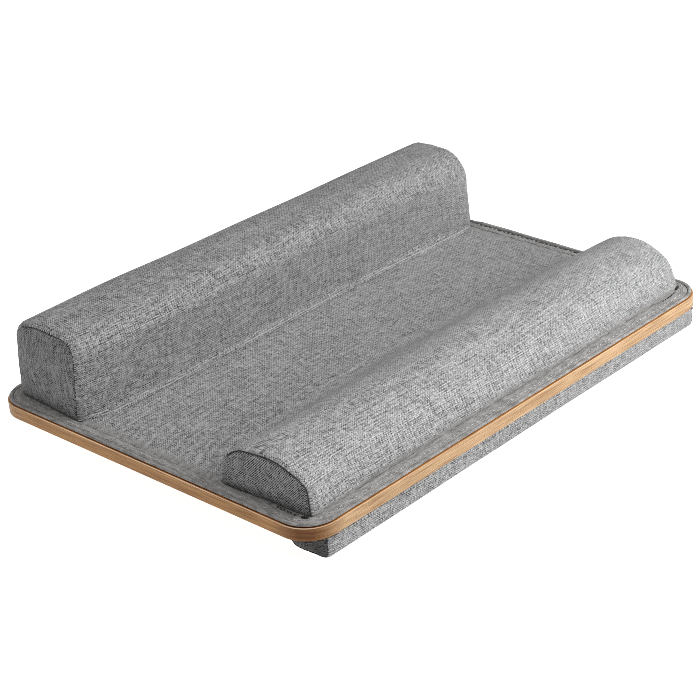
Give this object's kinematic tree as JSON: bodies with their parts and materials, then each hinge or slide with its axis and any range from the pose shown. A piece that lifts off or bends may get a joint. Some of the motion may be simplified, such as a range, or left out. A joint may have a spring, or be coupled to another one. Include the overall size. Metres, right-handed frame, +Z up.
{
  "type": "lap desk",
  "caption": "Lap desk lying face down: thin wood-edged board, tall and low padded bolsters on its cloth underside, padded wrist rest below.",
  "frame": {"origin": "on the floor under the middle of the desk as it lies face down", "axes": "+X along the desk's long side, +Y towards the tall bolster, +Z up; the board rises 3.24 degrees towards -Y"},
  "size_m": [0.43, 0.316, 0.0798],
  "materials": {
    "grey_cloth": "matte",
    "hem_cloth": "matte",
    "edge_wood": "satin",
    "face_laminate": "satin",
    "fibreboard": "matte",
    "backing_board": "matte",
    "foam": "matte",
    "tape": "matte"
  },
  "bodies": {
    "root": {"desk_core": "fibreboard", "desk_face_laminate": "face_laminate", "edge_band": "edge_wood", "backing_sheet": "backing_board", "floor_panel": "grey_cloth", "hem_band": "hem_cloth", "hem_piping": "hem_cloth", "back_bolster_foam": "foam", "back_bolster_cover": "grey_cloth", "back_bolster_end_left": "grey_cloth", "back_bolster_end_right": "grey_cloth", "front_bolster_foam": "foam", "front_bolster_cover": "grey_cloth", "front_bolster_end_left": "grey_cloth", "front_bolster_end_right": "grey_cloth", "wrist_rest_base": "backing_board", "wrist_rest_foam": "foam", "wrist_rest_cover": "grey_cloth", "wrist_rest_end_left": "grey_cloth", "wrist_rest_end_right": "grey_cloth", "wrist_rest_tape": "tape"}
  },
  "joints": []
}
